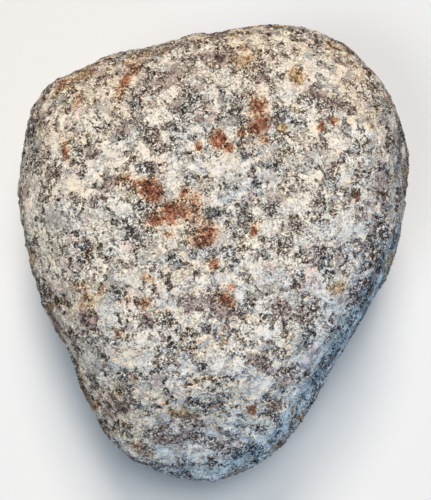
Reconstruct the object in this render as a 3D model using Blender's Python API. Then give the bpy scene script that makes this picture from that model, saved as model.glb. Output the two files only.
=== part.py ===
"""A rough, stream-worn granite cobble, lying on its back with its broad face up.

The cobble is one natural solid. Its form is worked out in a face frame: "across" runs to the right of the
broad face, "along" runs from its narrow end to its wide end, and "out" stands up from the face. The widest
outline of the stone lies in the plane out = 0. The row frame is +X across, +Y towards the wide end and +Z
up, with the origin on the floor under the middle of the stone. All sizes are in metres.
"""

import math

import bmesh
import bpy
import numpy as np
from mathutils import Vector, noise

# Driving dimensions.
HALF_WIDTH = 0.059  # half of the stone's width across the broad face
FACE_HEIGHT = 0.043  # from the plane of the outline up to the untrimmed crest of the broad face
BACK_DEPTH = 0.042  # from that plane down to the untrimmed underside
FACE_TILT = math.radians(9.0)  # how far the outline plane leans, wide end high
FACE_BULGE = 2.5  # fullness of the upper half: 2 is an ellipsoid, more is boxier
BACK_BULGE = 2.4  # fullness of the lower half
GRID = 28  # squares along each side of the starting cube
CURVE_STEPS = 24  # points on the smooth outline between two of the points below
TUMBLING = 3  # passes of wear that round the edges between the worn faces
OUTLINE_KEPT = 0.006  # the wear fades out this near to the outline plane
BASE_DROP = 0.0372  # from the middle of the outline down to the flat that the stone rests on

# The widest outline, anticlockwise from the right flank: (across, along) as shares of HALF_WIDTH.
OUTLINE = (
    (0.992, 0.215),  # right flank
    (1.000, 0.52),
    (0.945, 0.74),  # right shoulder
    (0.855, 0.89),
    (0.710, 1.052),
    (0.502, 1.155),
    (0.300, 1.178),  # crown
    (0.065, 1.145),  # saddle between the crown and the long shoulder
    (-0.190, 1.094),
    (-0.580, 0.984),  # long left shoulder
    (-0.800, 0.895),
    (-0.920, 0.740),
    (-0.975, 0.555),
    (-0.998, 0.350),  # left flank
    (-0.956, 0.148),
    (-0.917, -0.059),
    (-0.886, -0.247),
    (-0.795, -0.400),  # notch below the left flank
    (-0.709, -0.550),
    (-0.668, -0.710),
    (-0.579, -0.856),
    (-0.453, -1.006),
    (-0.287, -1.112),
    (-0.050, -1.174),  # narrow end
    (0.151, -1.127),
    (0.336, -1.026),
    (0.446, -0.848),
    (0.575, -0.655),  # long right taper
    (0.706, -0.454),
    (0.833, -0.242),
    (0.924, -0.089),
)

# Faces that ice and water wore flat: a point on the face (across, along, out), the way it faces, and how
# crisp its edge with its neighbours is.
WORN_FACES = {
    "broad_face": ((0.000, 0.000, 0.0390), (0.02, 0.05, 1.00), 8),
    "upper_left_slope": ((-0.024, 0.046, 0.0300), (-0.24, 0.56, 0.79), 8),
    "crown_slope": ((0.026, 0.054, 0.0280), (0.26, 0.62, 0.74), 7),
    "right_band": ((0.0542, 0.018, 0.0200), (0.94, 0.03, 0.34), 9),
    "lower_right_band": ((0.0424, -0.0202, 0.0205), (0.82, -0.47, 0.33), 9),
    "chin": ((-0.003, -0.046, 0.0300), (0.02, -0.70, 0.71), 8),
    "lower_left_band": ((-0.0420, -0.0235, 0.0205), (-0.78, -0.43, 0.46), 8),
    "left_band": ((-0.0526, 0.028, 0.0215), (-0.90, 0.06, 0.43), 8),
    "back_right": ((0.040, 0.010, -0.0260), (0.62, 0.10, -0.78), 7),
    "back_left": ((-0.036, 0.026, -0.0280), (-0.58, 0.30, -0.76), 7),
    "back_wide_end": ((0.010, 0.052, -0.0240), (0.14, 0.72, -0.68), 6),
    "back_narrow_end": ((-0.004, -0.044, -0.0250), (-0.05, -0.60, -0.80), 6),
    "back_lower_left": ((-0.034, -0.026, -0.0230), (-0.72, -0.34, -0.60), 7),
}
THINNEST = 0.002  # no worn face brings the skin nearer than this to the outline plane

# Broad swellings and hollows: place (across, along, out), reach, and height, negative for a hollow.
SWELLS = {
    "brow": ((0.008, 0.036, 0.036), 0.013, 0.0012),
    "cheek": ((-0.022, -0.006, 0.038), 0.014, 0.0012),
    "right_rise": ((0.034, 0.016, 0.033), 0.011, 0.0010),
    "chin_swell": ((0.004, -0.056, 0.020), 0.010, 0.0013),
    "middle_dish": ((0.010, 0.010, 0.038), 0.012, -0.0011),
    "upper_left_dish": ((-0.026, 0.030, 0.034), 0.010, -0.0010),
    "left_notch": ((-0.045, -0.030, 0.006), 0.009, -0.0010),
    "lower_right_dish": ((0.034, -0.030, 0.020), 0.010, -0.0010),
    "back_dish": ((0.016, 0.026, -0.036), 0.014, -0.0018),
    "back_swell": ((-0.020, -0.012, -0.036), 0.013, 0.0012),
    "side_dish": ((-0.052, 0.022, -0.012), 0.011, -0.0013),
    "far_side_dish": ((0.030, 0.056, -0.012), 0.011, -0.0013),
}

# Ledges, where a flake has come away: middle of the step, the way it faces, half its length, how far the
# flake reached, and its depth.
LEDGES = {
    "chin_ledge": ((-0.006, -0.045, 0.031), (0.12, -0.99, -0.20), 0.013, 0.007, 0.0012),
    "lower_left_ledge": ((-0.034, -0.046, 0.014), (-0.80, -0.50, -0.30), 0.011, 0.005, 0.0010),
    "left_ledge": ((-0.049, -0.012, 0.018), (-0.80, -0.50, -0.20), 0.010, 0.005, 0.0011),
    "right_ledge": ((0.051, 0.016, 0.020), (0.95, 0.00, -0.30), 0.016, 0.005, 0.0010),
    "crown_ledge": ((0.018, 0.064, 0.016), (-0.50, 0.80, -0.30), 0.009, 0.005, 0.0010),
    "back_ledge": ((0.008, -0.022, -0.034), (0.60, -0.80, 0.00), 0.016, 0.008, 0.0016),
    "far_ledge": ((-0.020, 0.054, -0.018), (0.10, 0.40, -0.90), 0.015, 0.007, 0.0015),
}

STEP_WIDTH = 0.14  # the step's own width, as a share of the flake's reach
FLAKE_FADE = 1.6  # how far the flake's hollow carries on, as a multiple of that reach

# Loose grains have dropped out and left pits: how many, their radii, and their depths.
PIT_COUNT = 56
PIT_RADIUS = (0.0022, 0.0040)
PIT_DEPTH = (0.0006, 0.0012)
PIT_SEED = 7
PIT_EDGE = 3  # how square the pit's profile is: 2 is a soft dimple
PIT_END = 2.5  # nothing of a pit is left at this multiple of its radius

# Unevenness of the skin, from large to small: size of the lumps and how far they stand.
LUMPS = ((0.034, 0.00120), (0.014, 0.00060), (0.0070, 0.00040))
LUMP_EVENNESS = 0.9  # fractal increment: lower leaves more of the small unevenness
LUMP_STEP = 2.0  # each octave's lumps are this many times smaller
LUMP_OCTAVES = 2

GRANITE_COLOUR = (0.52, 0.49, 0.44, 1.0)
GRANITE_ROUGHNESS = 0.82
CREASE_ANGLE = math.radians(40.0)  # edges sharper than this keep their crease when shaded


def clear_scene():
    for obj in list(bpy.data.objects):
        bpy.data.objects.remove(obj, do_unlink=True)


def granite():
    """Dry, pale granite with no polish."""
    material = bpy.data.materials.new("granite")
    material.use_nodes = True
    shader = material.node_tree.nodes["Principled BSDF"]
    shader.inputs["Base Color"].default_value = GRANITE_COLOUR
    shader.inputs["Roughness"].default_value = GRANITE_ROUGHNESS
    shader.inputs["Metallic"].default_value = 0.0
    return material


def smooth_outline():
    """Angles and distances of points on a smooth closed curve through OUTLINE."""
    points = [Vector(point) * HALF_WIDTH for point in OUTLINE]
    curve = []
    for i, start in enumerate(points):
        before = points[i - 1]
        end = points[(i + 1) % len(points)]
        after = points[(i + 2) % len(points)]
        for step in range(CURVE_STEPS):
            t = step / CURVE_STEPS
            linear = (end - before) * t
            square = (2 * before - 5 * start + 4 * end - after) * t**2
            cube = (3 * start - before - 3 * end + after) * t**3
            curve.append(0.5 * (2 * start + linear + square + cube))
    angles = np.unwrap([math.atan2(point.y, point.x) for point in curve])
    return angles, np.array([point.length for point in curve])


def starting_sphere():
    """A unit sphere of evenly spread squares, blown up from a cube."""
    mesh = bmesh.new()
    bmesh.ops.create_cube(mesh, size=2.0)
    bmesh.ops.subdivide_edges(mesh, edges=mesh.edges[:], cuts=GRID - 1, use_grid_fill=True)
    for vertex in mesh.verts:
        spread = Vector([math.tan(value * math.pi / 4) for value in vertex.co])
        vertex.co = spread.normalized()
    return mesh


def on_rounded_body(direction, outline):
    """Where this direction meets the plain rounded body of the outline and the two depths."""
    depth, bulge = (FACE_HEIGHT, FACE_BULGE) if direction.z > 0 else (BACK_DEPTH, BACK_BULGE)
    angle = math.atan2(direction.y, direction.x)
    reach = np.interp(angle, *outline, period=2 * math.pi)
    side = math.hypot(direction.x, direction.y) / reach
    height = abs(direction.z) / depth
    return direction * (side**bulge + height**bulge) ** (-1 / bulge)


def worn(point):
    """The point moved in towards the outline plane, below every worn face on its side of the stone."""
    side = math.copysign(1.0, point.z)
    height = abs(point.z)
    for on_face, facing, crispness in WORN_FACES.values():
        if facing[2] * side > 0 and height > 0:
            slope = (facing[0] * (point.x - on_face[0]) + facing[1] * (point.y - on_face[1])) / facing[2]
            limit = max(side * (on_face[2] - slope), THINNEST)
            height *= (1 + (height / limit) ** crispness) ** (-1 / crispness)
    return Vector((point.x, point.y, side * height))


def tumble(mesh):
    """Rounds the edges between the worn faces, as rolling in a stream does, and keeps the outline's reach."""
    before = [vertex.co.copy() for vertex in mesh.verts]
    every_axis = {"use_axis_x": True, "use_axis_y": True, "use_axis_z": True}
    for _ in range(TUMBLING):
        bmesh.ops.smooth_vert(mesh, verts=mesh.verts[:], factor=0.5, **every_axis)
    for vertex, place in zip(mesh.verts, before):
        share = min(abs(place.z) / OUTLINE_KEPT, 1.0)
        vertex.co = place.lerp(vertex.co, share)


def swelling(point):
    """Height of the broad swellings and hollows here."""
    height = 0.0
    for place, reach, amount in SWELLS.values():
        away = (point - Vector(place)).length / reach
        height += amount * math.exp(-away * away)
    return height


def flaking(point):
    """Depth of the flakes that have come away here: a steep step, fading out downhill of it."""
    depth = 0.0
    for place, facing, half_length, flake, amount in LEDGES.values():
        offset = point - Vector(place)
        downhill = Vector(facing).normalized()
        down = offset.dot(downhill)
        sideways = (offset - downhill * down).length / half_length
        step = 1 / (1 + math.exp(-down / (STEP_WIDTH * flake)))
        fade = math.exp(-((max(down, 0.0) / (FLAKE_FADE * flake)) ** 2) - sideways**2)
        depth += amount * step * fade
    return depth


def pit_list(mesh):
    """Places, radii and depths of the pits, scattered over the skin."""
    random = np.random.default_rng(PIT_SEED)
    corners = random.choice(len(mesh.verts), PIT_COUNT, replace=False)
    mesh.verts.ensure_lookup_table()
    return [
        (mesh.verts[i].co.copy(), random.uniform(*PIT_RADIUS), random.uniform(*PIT_DEPTH))
        for i in corners
    ]


def pitting(point, pits):
    """Depth of the pits here."""
    depth = 0.0
    for place, radius, amount in pits:
        away = (point - place).length / radius
        if away < PIT_END:
            depth += amount * math.exp(-(away**PIT_EDGE))
    return depth


def lumps(point):
    """Height of the skin's unevenness here."""
    height = 0.0
    for size, amount in LUMPS:
        height += amount * noise.fractal(point / size, LUMP_EVENNESS, LUMP_STEP, LUMP_OCTAVES)
    return height


def roughen(mesh):
    """Moves each corner out or in along the skin's own direction by all the relief that it carries."""
    mesh.normal_update()
    pits = pit_list(mesh)
    for vertex in mesh.verts:
        point = vertex.co.copy()
        relief = swelling(point) + lumps(point) - flaking(point) - pitting(point, pits)
        vertex.co = point + vertex.normal * relief


def lay_down(mesh):
    """Turns the face frame into the row frame, with the resting height at z = 0."""
    along = Vector((0.0, math.cos(FACE_TILT), math.sin(FACE_TILT)))
    out = Vector((0.0, -math.sin(FACE_TILT), math.cos(FACE_TILT)))
    for vertex in mesh.verts:
        across = Vector((vertex.co.x, 0.0, BASE_DROP))
        vertex.co = across + along * vertex.co.y + out * vertex.co.z


def flatten_base(mesh):
    """Cuts the underside off level and closes it with one flat face, which the stone rests on."""
    cut = bmesh.ops.bisect_plane(
        mesh,
        geom=mesh.verts[:] + mesh.edges[:] + mesh.faces[:],
        dist=1e-6,
        plane_co=(0.0, 0.0, 0.0),
        plane_no=(0.0, 0.0, -1.0),
        clear_outer=True,
    )
    rim = [item for item in cut["geom_cut"] if isinstance(item, bmesh.types.BMEdge)]
    for vertex in {vertex for edge in rim for vertex in edge.verts}:
        vertex.co.z = 0.0
    bmesh.ops.edgeloop_fill(mesh, edges=rim)


def centre_on_floor(mesh):
    """Moves the stone sideways until its box is centred on the origin."""
    points = np.array([vertex.co for vertex in mesh.verts])
    middle = (points.min(axis=0) + points.max(axis=0)) / 2
    bmesh.ops.translate(mesh, verts=mesh.verts[:], vec=(-middle[0], -middle[1], 0.0))


def make_rock():
    outline = smooth_outline()
    mesh = starting_sphere()
    for vertex in mesh.verts:
        vertex.co = worn(on_rounded_body(vertex.co.copy(), outline))
    tumble(mesh)
    roughen(mesh)
    lay_down(mesh)
    flatten_base(mesh)
    centre_on_floor(mesh)
    bmesh.ops.recalc_face_normals(mesh, faces=mesh.faces[:])
    data = bpy.data.meshes.new("rock")
    mesh.to_mesh(data)
    mesh.free()
    data.materials.append(granite())
    data.shade_smooth()
    data.set_sharp_from_angle(angle=CREASE_ANGLE)
    rock = bpy.data.objects.new("rock", data)
    bpy.context.scene.collection.objects.link(rock)
    return rock


def main():
    clear_scene()
    make_rock()


main()
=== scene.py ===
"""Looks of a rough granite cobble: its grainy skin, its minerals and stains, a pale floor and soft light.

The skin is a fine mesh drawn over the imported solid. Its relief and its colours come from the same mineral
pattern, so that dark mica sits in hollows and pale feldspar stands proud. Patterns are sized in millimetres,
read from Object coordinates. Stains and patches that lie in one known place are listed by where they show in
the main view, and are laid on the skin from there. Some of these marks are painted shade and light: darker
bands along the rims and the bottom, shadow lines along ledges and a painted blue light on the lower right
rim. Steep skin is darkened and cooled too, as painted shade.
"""

import math
from collections import namedtuple

import bmesh
import bpy
import numpy as np
from mathutils import Matrix, Vector
from mathutils.bvhtree import BVHTree


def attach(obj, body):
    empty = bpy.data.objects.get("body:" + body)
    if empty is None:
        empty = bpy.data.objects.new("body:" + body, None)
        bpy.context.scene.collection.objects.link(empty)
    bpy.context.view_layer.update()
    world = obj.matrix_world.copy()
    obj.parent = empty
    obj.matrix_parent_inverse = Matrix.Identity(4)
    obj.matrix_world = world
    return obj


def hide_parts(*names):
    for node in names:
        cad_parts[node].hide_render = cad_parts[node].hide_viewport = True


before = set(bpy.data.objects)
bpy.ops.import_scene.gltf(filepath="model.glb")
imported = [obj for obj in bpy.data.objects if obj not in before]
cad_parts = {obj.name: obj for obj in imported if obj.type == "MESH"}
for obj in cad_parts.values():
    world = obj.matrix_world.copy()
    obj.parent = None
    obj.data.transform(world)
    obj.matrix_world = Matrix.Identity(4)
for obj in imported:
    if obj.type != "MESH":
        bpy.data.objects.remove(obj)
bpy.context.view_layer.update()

# ------------------------------------------------------------------ the skin's sizes, in metres

MM = 0.001
MERGE_WITHIN = 0.01 * MM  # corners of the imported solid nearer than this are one
VOXEL = 0.77 * MM  # spacing of the skin's corners
SMOOTHING = 18  # passes that melt the solid's facets into one curved surface
SMOOTHING_SHARE = 0.5  # how far a pass moves each corner towards its neighbours

RELIEF = {
    "Lump Height": 0.42 * MM,
    "Lobe Height": 0.35 * MM,
    "Grain Height": 0.40 * MM,
    "Crumb Height": 0.35 * MM,
    "Pit Depth": 0.5 * MM,
    "Pale Height": 0.5 * MM,
}
LUMP_MM = 9.0
LUMP_GAIN = 2.0  # noise stays near its middle, so lumps are made this much higher
DOME_MIDDLE = 0.45  # how far from its middle a domed grain passes through the mean surface
DOME_HEIGHT = 0.6  # how domed a grain is, as a share of Grain Height
LEVEL_PALENESS = 0.7  # paler mineral than this stands proud, and darker lies low

# ------------------------------------------------------------------ the main view

FRAME_PIXELS = (431, 500)
AIM = Vector((0.00089, 0.00075, 0.03903))
VIEW_ELEVATION = math.radians(81.0)
VIEW_DISTANCE = 0.4231
LENS_MM = 100.0
SENSOR_MM = 36.0  # the long side of the frame


def view_axes():
    """Back, up and right as the main camera has them."""
    back = Vector((0.0, -math.cos(VIEW_ELEVATION), math.sin(VIEW_ELEVATION)))
    up = Vector((0.0, math.sin(VIEW_ELEVATION), math.cos(VIEW_ELEVATION)))
    return back, up, Vector((1.0, 0.0, 0.0))


# ------------------------------------------------------------------ the mineral pattern's sizes and shares

# Sizes of its cells and noises in millimetres, from broad zones down to flecks.
ZONE_MM = 11.0
HUE_MM = 8.0
PATCH_MM = 5.2
GRAIN_MM = 2.3
FRAY_MM = 2.0
CRUMB_MM = 1.15
DUST_MM = 0.62
FLECK_MM = 0.36

# Noises that bend the pattern: the size of each, and how far it pushes, in millimetres.
DRIFT = (5.0, 2.6)
SHAKE = (1.2, 0.9)
SHIVER = (0.45, 0.5)

# Where each part of the pattern starts to show and where it is full, on that part's own scale.
RISES = {
    "crowd": (0.12, 0.90),
    "plate": (0.60, 0.67),
    "flake": (-0.11, 0.11),
    "chip": (-0.06, 0.08),
    "lost_crumb": (0.90, 0.94),
    "grey": (0.78, 0.84),
    "smoky": (0.80, 0.86),
    "plum_and_rim_shade": (0.86, 0.94),
    "speck": (0.95, 0.99),
    "rim": (0.42, 0.75),
    "warm": (0.40, 0.68),
    "cool": (0.50, 0.72),
    "rust_dot": (1.02, 1.06),
    "rust_halo": (0.0, 0.5),
    "deep_rust": (0.40, 0.80),
    "mark_body": (0.0, 0.2),
    "mark_edge": (0.30, 0.70),
}

# Dark mica crowds by a level that each size of the pattern swings.
CROWD_LEVEL = 0.46
CROWD_SWINGS = {"zone": 1.35, "patch": 0.55, "grain": 0.45}

# A whole grain is picked out by its own random number and its patch's, in these shares.
GRAIN_SHARE = 0.8
PATCH_SHARE = 0.3
PLATES_LOST = 0.2  # crowding mica makes a clean plate rarer by this much
PLATE_CLEAN = 0.92  # how pale a plate is at least
PLATE_CALM = 0.8  # how far it holds the murk of mica off
PLATE_WHOLE = 0.6  # how far it hides the rims of its crumbs

# Ragged edges: how far each cuts in and out.
FLAKE_FRAY = 1.5
FLAKE_CROWD = 0.68
FLAKE_LEVEL = 0.16
CHIP_FRAY = 0.5
CHIP_CROWD = (-0.05, 0.22)  # what is taken off in clean stone and where mica crowds
PATCH_EDGE = 0.3
SMOKY_EDGE = 0.12
SPECK_EDGE = 0.10
SPECK_CROWD = 0.08
MARK_FRAY = 3.0
MARK_CRUMBLE = 0.4

# ------------------------------------------------------------------ shades and tints

# Lightness runs from 0, black, to 1, the palest feldspar.
SHADES = {
    "feldspar": 0.975,
    "mica": 0.17,
    "mica_swing": 0.26,  # the lightest mica is this much lighter
    "crowded": 0.20,  # this and what follows is taken off
    "grey": 0.10,
    "rim": 0.42,
    "speck": 0.20,
    "speck_swing": 0.30,
    # painted shade: steep skin is darkened by this
    "steep_shade": 0.15,
    # painted shade along the rims and the bottom, partly the stone's own tan
    "tan_and_rim_shade": 0.06,
    "chill": 0.02,
}
SHADE_SWINGS = {"patch": 0.10, "grain": 0.16, "crumb": 0.12, "sugar": 0.06}
DUST_SWINGS = (0.10, 0.20)  # on clean stone and among mica
FLECK_SWINGS = (0.36, 1.4)
RIMLESS = 0.30  # crumbs with a random number below this have no dark rim

# Stained and smoky grains are calmer: their lightness keeps this share of its contrast, round this middle.
CALM_CONTRAST = 0.40
CALM_LIFT = 0.345
CALM = {"plum_and_rim_shade": 0.75, "rust": 0.3, "ochre": 0.3, "smoky": 0.65}

# How far each tint covers what lies under it.
TINTS = {
    "cool": 0.85,
    "grey": 0.6,
    "smoky": 0.5,
    # slate patches, and painted cool shade along the rims
    "slate_and_rim_shade": 0.85,
    # painted cool shade on steep skin
    "steep_shade": 0.35,
    "plum_and_rim_shade": 0.7,
    # painted blue light on the lower right rim
    "blue_rim_light": 0.6,
    "rust_dot": 0.35,
    "rust_halo": 0.5,
}
# the tan marks warm the rims and the bottom as painted warm shade, partly the stone's own tint
MARK_TINT = 0.25  # how far tan warms the stone and chill cools it
PALE_CHILL = 0.3  # a pale patch cools it by this share of a chill
WARM_PATCH = 0.2
COOL_ZONE = 0.6
COOL_PATCH = 0.3
COOL_TINT = 0.6
DOT_CRUMB = 0.7
DOT_GRAIN = 0.4
# the painted blue rim light is this much lighter than the stone under it
BLUE_RIM_LIFT = 0.04
RUST_DEPTH = 0.17

SCREEN_GAMMA = 2.2
ROUGHNESS = 0.86
QUARTZ_SHINE = 0.2  # quartz is smoother by this much
SPECULAR_LEVEL = 0.4
BUMP_DEPTH = 0.25 * MM
BUMPS = {"crumb": 0.6, "pale": 1.0, "dust": 0.5, "speck": 0.5, "fleck": 0.3}


def linear(red, green, blue):
    """A colour as seen on a screen, turned into the values that the shader wants."""
    parts = [c / 12.92 if c <= 0.04045 else ((c + 0.055) / 1.055) ** 2.4 for c in (red, green, blue)]
    return (*parts, 1.0)


# Each mineral's colour at lightness 0 and at lightness 1.
MINERALS = {
    "feldspar": (linear(0.25, 0.145, 0.01), linear(1.0, 0.993, 0.97)),
    "buff": (linear(0.28, 0.145, 0.0), linear(1.0, 0.965, 0.90)),
    "quartz": (linear(0.12, 0.12, 0.12), linear(0.955, 0.972, 0.985)),
    "plum_and_rim_shade": (linear(0.20, 0.08, 0.06), linear(1.0, 0.93, 0.905)),
    "ochre": (linear(0.24, 0.12, 0.0), linear(1.0, 0.87, 0.69)),
    "orange": (linear(0.26, 0.11, 0.0), linear(1.0, 0.86, 0.70)),
    # not a mineral: the colour of the painted blue light on the lower right rim
    "blue_rim_light": (linear(0.08, 0.12, 0.17), linear(0.81, 0.94, 0.99)),
    "rust": (linear(0.25, 0.065, 0.03), linear(0.90, 0.62, 0.49)),
}
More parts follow.
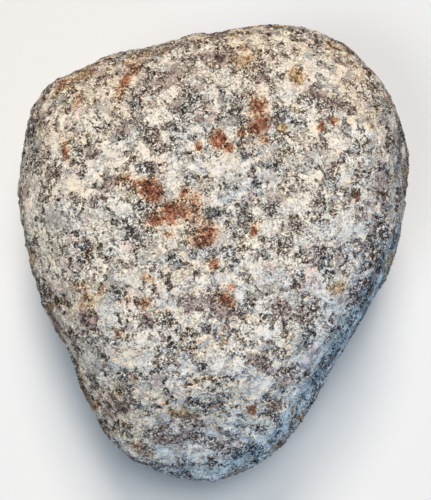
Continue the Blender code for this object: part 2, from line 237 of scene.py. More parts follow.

# ------------------------------------------------------------------ stains and patches, and painted shade and light

# Each mark lies where it shows in the main view: x and y in the 431 by 500 frame, half its length and half
# its width there, the turn of its length from the horizontal in degrees, and its strength.
MARKS = {
    "rust": (
        (151, 190, 13, 10, -40, 1.0),
        (172, 213, 13, 11, 35, 1.0),
        (157, 219, 13, 6, 8, 0.85),
        (185, 193, 9, 6, 75, 0.6),
        (195, 200, 9, 6, 100, 0.7),
        (184, 212, 8, 6, 60, 0.9),
        (195, 213, 12, 7, 70, 0.65),
        (207, 233, 12, 10, 0, 0.85),
        (201, 241, 13, 6, -8, 0.75),
        (168, 234, 6, 5, 0, 0.6),
        (124, 177, 8, 6, 20, 0.55),
        (137, 184, 5, 5, 0, 0.75),
        (254, 230, 7, 4, 70, 0.8),
        (213, 264, 6, 5, 100, 0.8),
        (226, 299, 10, 6, -30, 0.9),
        (231, 288, 5, 4, 0, 0.6),
        (145, 303, 7, 6, 20, 0.65),
        (102, 290, 7, 4, 60, 0.6),
        (80, 287, 10, 5, 0, 0.5),
        (84, 299, 10, 6, 80, 0.45),
        (258, 106, 10, 9, 10, 0.75),
        (258, 124, 11, 10, 30, 0.9),
        (243, 132, 8, 5, 20, 0.75),
        (264, 140, 6, 5, 0, 0.65),
        (218, 139, 10, 8, 100, 0.9),
        (229, 147, 6, 5, 20, 0.75),
        (321, 126, 5, 4, 90, 0.85),
        (334, 121, 5, 4, -20, 0.85),
        (125, 82, 16, 4, 62, 0.9),
        (133, 69, 10, 6, 45, 0.6),
        (64, 83, 10, 5, 30, 0.6),
        (78, 101, 10, 5, 62, 0.45),
        (65, 150, 10, 4, 105, 0.8),
        (198, 146, 5, 4, 90, 0.85),
        (138, 447, 7, 6, 0, 0.6),
        (149, 455, 6, 6, 0, 0.5),
        (252, 411, 7, 4, 80, 0.7),
        (331, 46, 6, 4, -25, 0.6),
        (118, 333, 4, 4, 0, 0.6),
        (96, 404, 6, 5, 60, 0.65),
        (372, 126, 5, 4, 0, 0.45),
        (244, 47, 6, 5, 0, 0.45),
        (356, 196, 5, 4, 70, 0.6),
    ),
    "ochre": (
        (147, 277, 8, 4, -40, 0.7),
        (243, 60, 13, 8, 10, 0.65),
        (296, 75, 10, 8, -35, 0.95),
        (282, 128, 6, 5, 0, 0.9),
        (336, 287, 12, 8, 0, 0.7),
        (117, 332, 9, 5, 0, 0.5),
        (136, 380, 6, 4, 100, 0.7),
        (174, 413, 7, 5, -40, 0.95),
        (166, 403, 5, 4, 0, 0.7),
        (196, 415, 10, 6, 0, 0.55),
        (51, 306, 5, 4, 0, 0.5),
        (199, 273, 4, 3, 90, 0.45),
        (212, 64, 7, 4, 0, 0.4),
        (222, 414, 7, 5, 0, 0.4),
        # these three long thin marks warm and darken the top rim
        (75, 80, 38, 7, 33, 0.55),
        (140, 58, 42, 6, 20, 0.55),
        (215, 38, 40, 5, 10, 0.4),
        (185, 412, 12, 6, -20, 0.7),
        (160, 443, 9, 4, -20, 0.5),
        (223, 343, 8, 5, 0, 0.5),
        (251, 410, 5, 4, 80, 0.7),
        (92, 302, 12, 8, 70, 0.45),
        # this long thin mark warms and darkens the top right rim
        (350, 62, 35, 8, -48, 0.4),
    ),
    "plum_and_rim_shade": (
        (217, 305, 19, 10, -42, 0.95),
        (89, 318, 10, 8, 0, 0.9),
        (147, 321, 9, 7, 90, 0.85),
        (123, 405, 11, 8, -40, 0.85),
        (258, 363, 16, 7, -28, 0.9),
        (286, 380, 11, 8, 0, 0.5),
        (286, 310, 20, 8, -22, 0.75),
        (275, 407, 10, 7, 20, 0.75),
        (186, 436, 8, 7, 0, 0.85),
        (218, 428, 6, 6, 0, 0.65),
        (318, 92, 11, 6, -15, 0.95),
        (338, 104, 11, 6, -30, 0.9),
        (219, 58, 10, 8, 0, 0.95),
        (205, 56, 10, 6, 0, 0.7),
        (262, 79, 10, 6, 0, 0.7),
        (103, 77, 9, 4, 10, 0.7),
        (124, 130, 10, 5, 12, 0.65),
        (159, 129, 7, 5, 0, 0.7),
        (92, 156, 7, 5, 10, 0.75),
        (58, 175, 8, 5, -20, 0.65),
        (200, 241, 10, 6, 0, 0.5),
        (178, 232, 6, 4, -20, 0.5),
        (279, 57, 11, 4, 5, 0.55),
        (372, 220, 8, 4, 80, 0.6),
        (174, 75, 28, 12, 30, 0.7),
        (190, 304, 17, 9, 160, 0.75),
        (172, 438, 28, 9, 175, 0.65),
        (379, 185, 20, 8, 80, 0.6),
        (338, 255, 19, 6, 90, 0.6),
        (86, 218, 12, 6, 84, 0.5),
        (110, 183, 13, 8, 24, 0.75),
        (276, 122, 12, 8, 141, 0.6),
        (191, 422, 22, 10, 169, 0.6),
        (364, 211, 13, 6, 57, 0.6),
        (27, 189, 11, 5, 89, 0.6),
        (345, 62, 14, 6, 150, 0.5),
        # these three long thin marks are painted shade along the top rim
        (150, 60, 40, 5, 22, 0.55),
        (215, 40, 25, 4, 10, 0.5),
        (88, 72, 26, 5, 32, 0.5),
    ),
    "slate_and_rim_shade": (
        (151, 168, 13, 8, 0, 1.0),
        (142, 206, 7, 6, 0, 0.85),
        (259, 256, 16, 7, 0, 0.7),
        (307, 340, 17, 7, 53, 0.8),
        (226, 199, 12, 6, -8, 0.5),
        (329, 276, 13, 7, 53, 0.6),
        (319, 221, 24, 7, 135, 0.45),
        (122, 321, 11, 7, 126, 0.5),
        (128, 228, 12, 8, -25, 0.9),
        (172, 258, 11, 7, -45, 0.85),
        (222, 250, 12, 5, 0, 0.8),
        (233, 257, 10, 5, -25, 0.9),
        (231, 267, 6, 3, -60, 0.9),
        (213, 212, 9, 5, -12, 0.95),
        (245, 215, 9, 5, -10, 0.65),
        (256, 184, 6, 5, -30, 0.9),
        (190, 181, 8, 6, 90, 0.65),
        (231, 189, 10, 8, 40, 0.45),
        (134, 105, 9, 9, 0, 0.75),
        (180, 110, 11, 7, -10, 0.85),
        (150, 139, 8, 6, 0, 0.8),
        (98, 186, 9, 5, 20, 0.85),
        (282, 115, 11, 6, -20, 0.95),
        (301, 124, 8, 6, 0, 0.85),
        (330, 178, 8, 8, 0, 1.0),
        (272, 166, 14, 6, -15, 0.65),
        (236, 111, 9, 8, 0, 0.6),
        (322, 64, 5, 3, -10, 1.0),
        (333, 68, 4, 3, 0, 0.8),
        (261, 62, 5, 5, 0, 0.7),
        (323, 263, 11, 7, 0, 0.85),
        (297, 282, 6, 5, 0, 0.8),
        (311, 328, 6, 5, 0, 1.0),
        (254, 449, 9, 8, 0, 0.95),
        (235, 453, 11, 6, 10, 0.8),
        (152, 434, 9, 4, 15, 0.8),
        (196, 400, 10, 3, -20, 0.8),
        (170, 395, 10, 3, -45, 0.8),
        (172, 345, 9, 5, -60, 0.75),
        (201, 366, 8, 4, -30, 0.9),
        (122, 375, 7, 7, 0, 0.75),
        (105, 358, 7, 4, -60, 0.55),
        # these four long thin marks are painted shade and cool light along the right and lower right rim
        (383, 215, 28, 4, 86, 0.55),
        (396, 232, 26, 4, 84, 0.6),
        (370, 290, 28, 4, 66, 0.55),
        (345, 330, 24, 4, 58, 0.3),
        (76, 285, 18, 9, 80, 0.6),
        (208, 329, 11, 9, 0, 0.8),
        (76, 262, 11, 7, 17, 0.6),
        # these three long thin marks are painted shade along the left and lower left rim
        (30, 140, 32, 4, 82, 0.45),
        (60, 345, 22, 4, 120, 0.6),
        (108, 425, 20, 4, 130, 0.3),
    ),
    "pale": (
        (171, 193, 10, 8, 80, 1.0),
        (174, 166, 11, 8, 0, 0.85),
        (287, 96, 11, 10, 90, 1.0),
        (231, 83, 13, 8, 0, 0.65),
        (214, 107, 7, 6, 90, 0.75),
        (150, 338, 18, 9, -25, 0.85),
        (199, 317, 5, 4, 50, 0.6),
        (193, 452, 8, 6, 90, 0.95),
        (346, 178, 7, 6, 90, 0.85),
        (215, 168, 25, 9, 5, 0.65),
        (262, 332, 20, 9, -15, 0.75),
        (262, 383, 14, 7, 0, 0.75),
        (225, 364, 17, 10, 0, 0.65),
        (205, 279, 7, 7, 0, 0.85),
        (240, 291, 12, 6, 90, 0.95),
        (80, 114, 8, 6, 0, 0.75),
        (101, 168, 6, 5, 90, 0.65),
        (168, 232, 12, 7, 0, 0.5),
        (262, 250, 10, 8, 0, 0.6),
        (225, 344, 11, 6, 0, 0.6),
        (133, 325, 7, 5, 0, 0.6),
        (125, 208, 12, 8, 20, 0.5),
        (124, 253, 13, 10, 0, 0.85),
        (305, 243, 15, 8, 149, 0.85),
        (382, 101, 18, 5, 116, 0.55),
        (135, 132, 13, 9, 20, 0.75),
        (288, 45, 9, 7, 30, 0.75),
        (187, 368, 15, 10, 136, 0.8),
        (267, 182, 22, 10, 113, 0.8),
        (185, 143, 18, 8, 130, 0.75),
        (145, 218, 13, 6, 130, 0.7),
        (151, 279, 9, 6, 112, 0.75),
        (212, 276, 22, 8, 148, 0.6),
        (228, 99, 12, 6, 142, 0.6),
        (68, 210, 9, 6, 92, 0.6),
        (306, 106, 9, 6, 0, 0.6),
        (102, 391, 19, 7, 95, 0.7),
        (318, 378, 18, 5, 58, 0.6),
        (347, 326, 16, 7, 66, 0.5),
        (252, 342, 16, 9, 0, 0.6),
        (256, 163, 14, 9, 0, 0.5),
        (228, 290, 16, 8, 20, 0.6),
        (165, 348, 9, 6, 99, 0.7),
        (339, 197, 16, 7, -7, 0.7),
        (286, 144, 8, 7, 0, 0.65),
        (317, 112, 20, 7, 148, 0.55),
        (65, 240, 9, 7, 0, 0.6),
        (93, 338, 11, 7, 134, 0.6),
    ),
    # Broad tan marks, mostly along the rims and the darker bottom: painted shade there, warmed, and partly
    # the stone's own tan tint.
    "tan_and_rim_shade": (
        (250, 48, 48, 20, 0, 0.8),
        (100, 90, 50, 22, 30, 0.8),
        (40, 140, 35, 14, 80, 0.6),
        (390, 180, 62, 18, 88, 1.0),
        (370, 110, 40, 16, -55, 0.7),
        (150, 418, 45, 26, -35, 0.9),
        (215, 405, 45, 20, 0, 0.6),
        (150, 190, 40, 22, -20, 0.5),
        (75, 300, 30, 16, 70, 0.4),
    ),
    "chill": (
        (195, 120, 38, 30, 0, 0.8),
        (100, 228, 62, 30, 0, 1.0),
        (245, 200, 36, 22, 0, 0.7),
        (290, 290, 45, 24, 0, 0.7),
        (240, 445, 34, 20, 0, 0.8),
        (330, 220, 45, 26, 0, 0.4),
    ),
    # painted blue light: a bluish band along the lower right rim and the bottom, where cool light falls
    "blue_rim_light": (
        (384, 262, 26, 6, 74, 0.6),
        (366, 303, 26, 7, 62, 0.9),
        (340, 342, 28, 7, 56, 1.0),
        (312, 386, 28, 7, 56, 1.0),
        (284, 424, 26, 7, 45, 1.0),
        (245, 456, 28, 7, 22, 0.9),
        (200, 473, 28, 6, 2, 0.7),
    ),
    # thin dark lines along cracks, ledges and creases: painted shadow lines where a step in the surface
    # throws shade
    "crack_and_ledge_shadow": (
        (83, 208, 8, 1.6, 84, 1.0),
        (169, 396, 10, 1.6, -50, 0.9),
        (196, 402, 9, 1.6, -30, 0.8),
        (213, 404, 10, 1.6, 12, 0.8),
        (160, 430, 9, 1.6, 2, 0.7),
        (269, 34, 10, 1.6, 35, 0.8),
        (384, 101, 13, 1.6, -45, 0.8),
    ),
}
MARK_REACH = 1.7  # a mark ends within this many half-lengths of its middle, round the curve of the stone
REACH_FADE = 0.5  # and fades over this share of that
MARK_END = 1.5  # in the view, nothing of it is left at this multiple of its half sizes

# How thickly dark mica crowds in each kind of mark, and how far that holds against the pattern around it.
# the shadow lines along ledges are painted as solid dark mica
MARK_CROWDS = {"pale": 0.0, "ochre": 0.40, "rust": 0.50, "plum_and_rim_shade": 0.74, "slate_and_rim_shade": 0.90, "crack_and_ledge_shadow": 1.0}
MARK_PULL = 0.9

# How much lighter or darker it makes the stone besides.
MARK_TONES = {"rust": 0.04, "ochre": -0.07, "plum_and_rim_shade": -0.11, "slate_and_rim_shade": -0.10, "pale": 0.06, "crack_and_ledge_shadow": -0.20}

# Skin that turns away from the main view carries no listed marks. There a kind of mark shows where its own
# noise rises over its level.
FAR_LEVELS = {"rust": 0.63, "ochre": 0.63, "plum_and_rim_shade": 0.60, "slate_and_rim_shade": 0.58, "pale": 0.60}
FAR_EDGE = 0.07
FAR_MARK_MM = 9.0
FAR_STEP_MM = 40.0  # each kind's noise is read this much further along X

# Skin counts as steep, or as turned away, from the first of these cosines down, and is fully so when its
# cosine is lower by the second. Steep skin gets painted shade: it is darkened and cooled as if in shade.
STEEP_SHADE = (0.65, 0.4)  # against straight up
FAR = (0.5, 0.3)  # against the way to the camera

# ------------------------------------------------------------------ the setting

FLOOR_SIZE = 40.0
FLOOR_COLOUR = (0.79, 0.835, 0.90, 1.0)
FLOOR_ROUGHNESS = 0.9

# Lights, all far off and soft: where each stands, as the angle round the stone from +X and the height above
# the floor, both in degrees, then its strength and its colour.
LIGHT_SPREAD = math.radians(20.0)
LIGHTS = {
    "overhead": (60, 80, 1.40, (1.0, 0.937, 0.855)),
    "warm_key": (90, 55, 1.76, (1.0, 0.853, 0.70)),
    "left_fill": (225, 60, 0.66, (0.94, 1.0, 0.97)),
    "cool_side": (305, 10, 0.95, (0.0, 0.42, 1.0)),
}
WORLD_COLOUR = (0.95, 0.97, 1.0, 1.0)
WORLD_GLOW = 0.03
BACKDROP = 0.85  # how bright the plain backdrop beyond the floor looks

# ------------------------------------------------------------------ node wiring

Three = namedtuple("Three", "red green blue")


class Wire:
    """A value in a node tree. Arithmetic on it adds Math nodes, and node() adds a node of any other kind."""

    def __init__(self, tree, socket=None):
        self.tree = tree
        self.socket = socket

    def node(self, kind, settings=None, inputs=None, output=0):
        made = self.tree.nodes.new(kind)
        for name, value in (settings or {}).items():
            setattr(made, name, value)
        for key, value in (inputs or {}).items():
            if isinstance(value, Wire):
                self.tree.links.new(value.socket, made.inputs[key])
            else:
                made.inputs[key].default_value = value
        return Wire(self.tree, made.outputs[output] if made.outputs else None)

    def sibling(self, name):
        """Another output of the node that this value comes from."""
        return Wire(self.tree, self.socket.node.outputs[name])

    def math(self, operation, *values):
        inputs = dict(enumerate((self, *values)))
        return self.node("ShaderNodeMath", {"operation": operation}, inputs)

    def __add__(self, other):
        return self.math("ADD", other)

    __radd__ = __add__

    def __mul__(self, other):
        return self.math("MULTIPLY", other)

    __rmul__ = __mul__

    def __sub__(self, other):
        return self.math("SUBTRACT", other)

    def __rsub__(self, other):
        return (self * -1.0) + other

    def __pow__(self, other):
        return self.math("POWER", other)

    def largest(self, other):
        return self.math("MAXIMUM", other)

    def smallest(self, other):
        return self.math("MINIMUM", other)

    def rise(self, start, end):
        """0 below start and 1 above end, with a soft step between."""
        inputs = {"Value": self, "From Min": start, "From Max": end}
        return self.node("ShaderNodeMapRange", {"interpolation_type": "SMOOTHSTEP"}, inputs)

    def to(self, start, end):
        """start where this value is 0, end where it is 1, and a blend of the two between."""
        return self * (end - start) + start

    def swing(self, amount):
        """A value from 0 to 1, as a swing of half the amount to either side of 0."""
        return (self - 0.5) * amount

    def scaled(self, factor):
        """A vector made longer by this factor."""
        return self.node("ShaderNodeVectorMath", {"operation": "SCALE"}, {0: self, "Scale": factor})

    def plus(self, other):
        return self.node("ShaderNodeVectorMath", {"operation": "ADD"}, {0: self, 1: other})

    def minus(self, other):
        return self.node("ShaderNodeVectorMath", {"operation": "SUBTRACT"}, {0: self, 1: other})

    def three(self):
        """The three numbers of a colour or vector."""
        split = self.node("ShaderNodeSeparateXYZ", {}, {0: self})
        return Three(split, split.sibling("Y"), split.sibling("Z"))

    def paint(self, under, over):
        """The colour under, covered by the colour over as far as this mask says."""
        return self.node("ShaderNodeMix", {"data_type": "RGBA"}, {0: self, 6: under, 7: over}, output=2)

    def noise(self, size, detail=2.0, roughness=0.5):
        """Cloudy noise at this place, 0 to 1, with blobs of about this size."""
        inputs = {"Vector": self, "Scale": 1.0 / size, "Detail": detail, "Roughness": roughness}
        return self.node("ShaderNodeTexNoise", {}, inputs)

    def cells(self, size):
        """Distance to the middle of the cell. Its sibling Color holds three random numbers for the cell."""
        return self.node("ShaderNodeTexVoronoi", {}, {"Vector": self, "Scale": 1.0 / size})

    def mark(self, name):
        """How strongly a kind of mark covers this place."""
        return self.node("ShaderNodeAttribute", {"attribute_name": name}, output=2)


# ------------------------------------------------------------------ the mineral pattern


def sway(place, size, push):
    """How far and which way a noise of this size pushes each place."""
    return place.noise(size, detail=1.0).sibling("Color").minus((0.5, 0.5, 0.5)).scaled(push)


def minerals(place):
    """Fields that say which mineral lies where. place is a position in millimetres.

    The same nodes are built in the skin's relief and in its material, so the two agree. Each size of cell
    gives three random numbers, and its reach is the distance to the cell's middle.
    """
    crumbled = place.plus(sway(place, *SHAKE)).plus(sway(place, *SHIVER))
    bent = crumbled.plus(sway(place, *DRIFT))
    field = {"place": place, "bent": bent, "zone": bent.noise(ZONE_MM)}
    field["fray"] = crumbled.noise(FRAY_MM, detail=4.0, roughness=0.9)
    for name, size, where in (
        ("patch", PATCH_MM, bent),
        ("grain", GRAIN_MM, bent),
        ("crumb", CRUMB_MM, crumbled),
        ("dust", DUST_MM, crumbled),
    ):
        reach = where.cells(size)
        field[name + "_reach"] = reach
        field[name] = reach.sibling("Color").three()
    return field


def crowding(field):
    """How thickly dark mica crowds here, from 0 in clean feldspar to 1."""
    zone = field["zone"].swing(CROWD_SWINGS["zone"])
    patch = field["patch"].red.swing(CROWD_SWINGS["patch"])
    grain = field["grain"].red.swing(CROWD_SWINGS["grain"])
    return (zone + patch + grain + CROWD_LEVEL).rise(*RISES["crowd"])


def plating(field, crowd):
    """1 on the whole grains that show as clean pale plates, and 0 between them."""
    pick = field["grain"].green * GRAIN_SHARE + field["patch"].green * PATCH_SHARE
    return (pick - crowd * PLATES_LOST).rise(*RISES["plate"])


def paleness(field, crowd):
    """How pale the mineral is here: 0 in a flake of mica, 1 in feldspar."""
    fray = field["fray"].swing(FLAKE_FRAY)
    flake = (field["crumb"].red + fray - crowd * FLAKE_CROWD + FLAKE_LEVEL).rise(*RISES["flake"])
    chip = (field["dust"].red + fray * CHIP_FRAY - crowd.to(*CHIP_CROWD)).rise(*RISES["chip"])
    return flake.smallest(chip).largest(plating(field, crowd) * PLATE_CLEAN)


# ------------------------------------------------------------------ the skin


def solid_copy():
    """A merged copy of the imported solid's surface."""
    mesh = bmesh.new()
    mesh.from_mesh(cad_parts["rock"].data)
    bmesh.ops.remove_doubles(mesh, verts=mesh.verts[:], dist=MERGE_WITHIN)
    data = bpy.data.meshes.new("rock_skin")
    mesh.to_mesh(data)
    mesh.free()
    skin = bpy.data.objects.new("rock_skin", data)
    bpy.context.scene.collection.objects.link(skin)
    return skin


def bake(piece):
    """Makes the piece's modifiers part of its mesh, and removes them."""
    graph = bpy.context.evaluated_depsgraph_get()
    data = bpy.data.meshes.new_from_object(piece.evaluated_get(graph))
    piece.modifiers.clear()
    old = piece.data
    piece.data = data
    bpy.data.meshes.remove(old)


def refine(skin):
    """Replaces the facets by an even, fine mesh with rounded edges."""
    remesh = skin.modifiers.new("even_mesh", "REMESH")
    remesh.mode = "VOXEL"
    remesh.voxel_size = VOXEL
    smooth = skin.modifiers.new("melt_facets", "SMOOTH")
    smooth.factor = SMOOTHING_SHARE
    smooth.iterations = SMOOTHING
    bake(skin)


def corners(data, kind):
    """One row for each corner of a mesh: its place, "co", or its "normal"."""
    values = np.empty(len(data.vertices) * 3)
    data.vertices.foreach_get(kind, values)
    return values.reshape(-1, 3)


def store(data, name, values):
    """Keeps one number for each corner, for the material to read."""
    data.attributes.new(name, "FLOAT", "POINT").data.foreach_set("value", values)


def fall(values, start, span):
    """0 above start, rising to 1 where the value is lower by span."""
    return np.clip((start - values) / span, 0.0, 1.0)


def lay_marks(skin):
    """Stores how strongly each kind of mark covers each corner, how steep the skin is for the painted shade
    on its sides, and how far round.
    """
    back, up, right = (np.array(axis) for axis in view_axes())
    eye = np.array(AIM) + back * VIEW_DISTANCE
    wide, high = FRAME_PIXELS
    focus = LENS_MM / SENSOR_MM * high
    places = corners(skin.data, "co")
    sight = places - eye
    depth = -sight @ back
    across = wide / 2 + focus * (sight @ right) / depth
    down = high / 2 - focus * (sight @ up) / depth
    tree = BVHTree.FromObject(skin, bpy.context.evaluated_depsgraph_get())
    for kind, marks in MARKS.items():
        cover = np.zeros(len(places))
        for x, y, length, width, turn, strength in marks:
            ray = Vector(right * (x - wide / 2) / focus - up * (y - high / 2) / focus - back)
            spot = tree.ray_cast(Vector(eye), ray.normalized())[0]
            if spot is None:
                continue
            cosine, sine = math.cos(math.radians(turn)), math.sin(math.radians(turn))
            along = ((across - x) * cosine - (down - y) * sine) / length
            aside = ((across - x) * sine + (down - y) * cosine) / width
            near = np.linalg.norm(places - np.array(spot), axis=1)
            reach = MARK_REACH * length * (np.array(spot) - eye) @ -back / focus
            edge = fall(np.hypot(along, aside), MARK_END, 1.0)
            fade = fall(near, reach * (1.0 + REACH_FADE), reach * REACH_FADE)
            cover = np.maximum(cover, strength * edge * fade)
        store(skin.data, kind, cover)
    normals = corners(skin.data, "normal")
    # painted shade: steep skin is later darkened and cooled as if in shade
    store(skin.data, "steep_shade", fall(normals[:, 2], *STEEP_SHADE))
    facing = (normals * -sight).sum(axis=1) / np.linalg.norm(sight, axis=1)
    store(skin.data, "far", fall(facing, *FAR))


def relief_tree(material):
    """Geometry nodes that push the skin in and out by its lumps, grains, crumbs and pits."""
    tree = bpy.data.node_groups.new("granite_relief", "GeometryNodeTree")
    tree.interface.new_socket("Geometry", in_out="INPUT", socket_type="NodeSocketGeometry")
    for name in RELIEF:
        tree.interface.new_socket(name, in_out="INPUT", socket_type="NodeSocketFloat")
    tree.interface.new_socket("Geometry", in_out="OUTPUT", socket_type="NodeSocketGeometry")
    start = Wire(tree)
    given = start.node("NodeGroupInput")
    place = start.node("GeometryNodeInputPosition").scaled(1 / MM)
    field = minerals(place)

    lumps = place.noise(LUMP_MM).swing(given.sibling("Lump Height")) * LUMP_GAIN
    lobes = field["patch"].blue.swing(given.sibling("Lobe Height"))
    domes = (DOME_MIDDLE - field["grain_reach"]) * DOME_HEIGHT
    grains = ((field["grain"].red - 0.5) + domes) * given.sibling("Grain Height")
    crumbs = field["crumb"].red.swing(given.sibling("Crumb Height"))
    pits = field["crumb"].blue.rise(*RISES["lost_crumb"]) * given.sibling("Pit Depth")
    proud = (paleness(field, crowding(field)) - LEVEL_PALENESS) * given.sibling("Pale Height")
    height = lumps + lobes + grains + crumbs + proud - pits

    push = start.node("GeometryNodeInputNormal").scaled(height)
    moved = start.node("GeometryNodeSetPosition", {}, {"Geometry": given.sibling("Geometry"), "Offset": push})
    realised = start.node("GeometryNodeRealizeInstances", {}, {"Geometry": moved})
    finished = start.node("GeometryNodeSetMaterial", {}, {"Geometry": realised, "Material": material})
    start.node("NodeGroupOutput", {}, {"Geometry": finished})
    return tree


def carve(skin, material):
    """Gives the skin its relief, and keeps the flat that it rests on out of the floor."""
    tree = relief_tree(material)
    relief = skin.modifiers.new("granite_relief", "NODES")
    relief.node_group = tree
    for item in tree.interface.items_tree:
        if item.in_out == "INPUT" and item.name in RELIEF:
            relief[item.identifier] = RELIEF[item.name]
    bake(skin)
    places = corners(skin.data, "co")
    places[:, 2] = np.maximum(places[:, 2], 0.0)
    skin.data.vertices.foreach_set("co", places.ravel())
    skin.data.update()
    skin.data.shade_smooth()


# ------------------------------------------------------------------ the granite


def mineral(light, name):
    """The colour of one mineral at this lightness."""
    dark_colour, light_colour = MINERALS[name]
    return (light.largest(0.0) ** SCREEN_GAMMA).paint(dark_colour, light_colour)


def cover(field, kind):
    """How far a kind of mark covers this place, its edge frayed by the grains that it runs along."""
    strength = field["place"].mark(kind)
    if kind in FAR_LEVELS:
        level = FAR_LEVELS[kind]
        shift = (list(FAR_LEVELS).index(kind) * FAR_STEP_MM, 0.0, 0.0)
        own = field["bent"].plus(shift).noise(FAR_MARK_MM)
        strength = strength + own.rise(level - FAR_EDGE, level + FAR_EDGE) * field["place"].mark("far")
    ragged = field["fray"].swing(MARK_FRAY) + field["crumb"].green.swing(MARK_CRUMBLE)
    return (strength + ragged * strength.rise(*RISES["mark_body"])).rise(*RISES["mark_edge"])


def sort_grains(field, covers):
    """Masks, 0 to 1, that say what each grain, crumb and fleck is."""
    patch, grain, crumb, dust = (field[name] for name in ("patch", "grain", "crumb", "dust"))
    crowd = crowding(field)
    for kind, target in MARK_CROWDS.items():
        crowd = (covers[kind] * MARK_PULL).to(crowd, target)
    plate = plating(field, crowd)
    smoky = grain.blue * GRAIN_SHARE + patch.green * PATCH_SHARE + crumb.red.swing(SMOKY_EDGE)
    speck = dust.red + crowd * SPECK_CROWD + crumb.red.swing(SPECK_EDGE)
    rims = field["crumb_reach"].rise(*RISES["rim"]) * (crumb.green - RIMLESS).largest(0.0)
    return {
        "crowd": crowd,
        "pale": paleness(field, crowd),
        "murky": crowd * (1.0 - plate * PLATE_CALM),
        "grey": (patch.green + grain.red.swing(PATCH_EDGE)).rise(*RISES["grey"]),
        "smoky": smoky.rise(*RISES["smoky"]),
        "plum_and_rim_shade": (patch.blue + grain.blue.swing(PATCH_EDGE)).rise(*RISES["plum_and_rim_shade"]),
        "speck": speck.rise(*RISES["speck"]),
        "rims": rims * (1.0 - plate * PLATE_WHOLE),
        "flecks": field["place"].cells(FLECK_MM).sibling("Color").three().red,
    }


def lightness(field, covers, mask):
    """How light the stone is, from 0 for black to 1 for the palest feldspar, with painted shade on steep skin
    and along the rims.
    """
    patch, grain, crumb, dust = (field[name] for name in ("patch", "grain", "crumb", "dust"))
    plates = patch.green.swing(SHADE_SWINGS["patch"]) + grain.green.swing(SHADE_SWINGS["grain"])
    plates = plates + crumb.green.swing(SHADE_SWINGS["crumb"])
    pale = plates - mask["crowd"] * SHADES["crowded"] - mask["grey"] * SHADES["grey"] + SHADES["feldspar"]
    dark = dust.blue * SHADES["mica_swing"] + SHADES["mica"]
    stains = 0.0
    for kind in MARK_CROWDS:
        stains = covers[kind] * MARK_TONES[kind] + stains
    light = mask["pale"].to(dark, pale) + stains

    sugar = crumb.blue.swing(SHADE_SWINGS["sugar"]) + dust.green.swing(mask["murky"].to(*DUST_SWINGS))
    sugar = sugar + mask["flecks"].swing(mask["murky"].to(*FLECK_SWINGS))
    specks = mask["speck"] * (dust.blue * SHADES["speck_swing"] + SHADES["speck"])
    light = light + sugar - mask["rims"] * SHADES["rim"] - specks

    stained = covers["plum_and_rim_shade"] * CALM["plum_and_rim_shade"] + covers["rust"] * CALM["rust"] + covers["ochre"] * CALM["ochre"]
    calm = stained.largest(mask["smoky"] * CALM["smoky"])
    light = calm.to(light, light * CALM_CONTRAST + CALM_LIFT)
    # painted shade: steep skin, and the rims and the bottom under the tan marks, are darkened as if in shade;
    # chill marks darken a little
    for name in ("steep_shade", "tan_and_rim_shade", "chill"):
        light = light - field["place"].mark(name) * SHADES[name]
    return light


def paint_minerals(field, covers, mask, light):
    """The colour of the stone, with a painted blue light on the lower right rim, and how far it is cool
    quartz or painted cool shade on steep skin.
    """
    place, patch, crumb = field["place"], field["patch"], field["crumb"]
    # the tan marks warm the rims and the bottom: painted warm shade, partly the stone's own tint
    tint = (place.mark("tan_and_rim_shade") - place.mark("chill") - place.mark("pale") * PALE_CHILL) * MARK_TINT
    warm = (place.noise(HUE_MM) + patch.green.swing(WARM_PATCH) + tint).rise(*RISES["warm"])
    cool = field["zone"] * COOL_ZONE + patch.blue * COOL_PATCH - tint * COOL_TINT
    cool = cool.rise(*RISES["cool"]) * TINTS["cool"]
    for name, amount in (
        ("grey", mask["grey"]),
        ("smoky", mask["smoky"]),
        ("slate_and_rim_shade", covers["slate_and_rim_shade"]),
        # steep skin is cooled: painted cool shade
        ("steep_shade", place.mark("steep_shade")),
    ):
        cool = cool.largest(amount * TINTS[name])
    plum_and_rim_shade = (mask["plum_and_rim_shade"] * TINTS["plum_and_rim_shade"]).largest(covers["plum_and_rim_shade"])
    # painted blue light on the lower right rim
    blue_rim_light = place.mark("blue_rim_light") * TINTS["blue_rim_light"]
    colour = warm.paint(mineral(light, "feldspar"), mineral(light, "buff"))
    colour = cool.paint(colour, mineral(light, "quartz"))
    colour = plum_and_rim_shade.paint(colour, mineral(light, "plum_and_rim_shade"))
    colour = blue_rim_light.paint(colour, mineral(light + BLUE_RIM_LIFT, "blue_rim_light"))
    colour = covers["ochre"].paint(colour, mineral(light, "ochre"))

    dots = (crumb.blue * DOT_CRUMB + field["grain"].green * DOT_GRAIN).rise(*RISES["rust_dot"])
    halo = place.mark("rust").rise(*RISES["rust_halo"]) * TINTS["rust_halo"]
    orange = halo.largest(dots * TINTS["rust_dot"]).largest(covers["rust"])
    colour = orange.paint(colour, mineral(light, "orange"))
    deep = (place.mark("rust") + field["fray"].swing(MARK_FRAY)).rise(*RISES["deep_rust"]) * covers["rust"]
    return deep.paint(colour, mineral(light - RUST_DEPTH, "rust")), cool


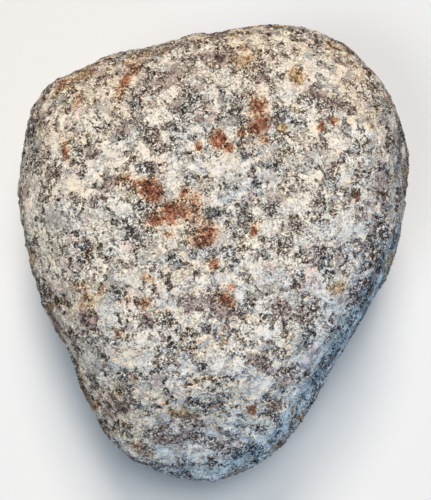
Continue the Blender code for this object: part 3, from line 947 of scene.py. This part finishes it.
def granite():
    material = bpy.data.materials.new("granite")
    material.use_nodes = True
    tree = material.node_tree
    tree.nodes.clear()
    start = Wire(tree)
    field = minerals(start.node("ShaderNodeTexCoord", output="Object").scaled(1 / MM))
    covers = {kind: cover(field, kind) for kind in MARK_CROWDS}
    mask = sort_grains(field, covers)
    light = lightness(field, covers, mask)
    colour, cool = paint_minerals(field, covers, mask, light)
    height = field["crumb"].red * BUMPS["crumb"] + mask["pale"] * BUMPS["pale"]
    height = height + field["dust"].green * BUMPS["dust"] - mask["speck"] * BUMPS["speck"]
    height = height + mask["flecks"] * BUMPS["fleck"]
    bump_inputs = {"Strength": 1.0, "Distance": BUMP_DEPTH, "Height": height}
    shader_inputs = {
        "Base Color": colour,
        "Roughness": ROUGHNESS - cool * QUARTZ_SHINE,
        "Normal": start.node("ShaderNodeBump", {}, bump_inputs),
        "Specular IOR Level": SPECULAR_LEVEL,
    }
    shader = start.node("ShaderNodeBsdfPrincipled", {}, shader_inputs)
    start.node("ShaderNodeOutputMaterial", {}, {"Surface": shader})
    return material


def make_rock():
    skin = solid_copy()
    refine(skin)
    lay_marks(skin)
    carve(skin, granite())
    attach(skin, "root")
    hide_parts("rock")


# ------------------------------------------------------------------ floor, camera and lights


def make_floor():
    material = bpy.data.materials.new("pale_floor")
    material.use_nodes = True
    shader = material.node_tree.nodes["Principled BSDF"]
    shader.inputs["Base Color"].default_value = FLOOR_COLOUR
    shader.inputs["Roughness"].default_value = FLOOR_ROUGHNESS
    bpy.ops.mesh.primitive_plane_add(size=FLOOR_SIZE)
    floor = bpy.context.object
    floor.name = "floor"
    floor.data.materials.append(material)


def make_camera():
    back, up, right = view_axes()
    data = bpy.data.cameras.new("camera")
    data.lens = LENS_MM
    data.sensor_width = SENSOR_MM
    camera = bpy.data.objects.new("camera", data)
    turn = Matrix((right, up, back)).transposed().to_4x4()
    camera.matrix_world = Matrix.Translation(AIM + back * VIEW_DISTANCE) @ turn
    bpy.context.scene.collection.objects.link(camera)
    bpy.context.scene.camera = camera


def make_lights():
    for name, (around, above, strength, colour) in LIGHTS.items():
        data = bpy.data.lights.new(name, "SUN")
        data.angle = LIGHT_SPREAD
        data.energy = strength
        data.color = colour
        lamp = bpy.data.objects.new(name, data)
        turn, climb = math.radians(around), math.radians(above)
        flat = math.cos(climb)
        towards = Vector((flat * math.cos(turn), flat * math.sin(turn), math.sin(climb)))
        lamp.location = AIM + towards
        lamp.rotation_euler = towards.to_track_quat("Z", "Y").to_euler()
        bpy.context.scene.collection.objects.link(lamp)
    world = bpy.data.worlds.new("studio")
    world.use_nodes = True
    background = world.node_tree.nodes["Background"]
    background.inputs["Color"].default_value = WORLD_COLOUR
    seen = Wire(world.node_tree).node("ShaderNodeLightPath")  # 1 where the backdrop itself is seen
    world.node_tree.links.new(seen.to(WORLD_GLOW, BACKDROP).socket, background.inputs["Strength"])
    bpy.context.scene.world = world
    bpy.context.scene.view_settings.view_transform = "Standard"


make_camera()
make_floor()
make_lights()
make_rock()
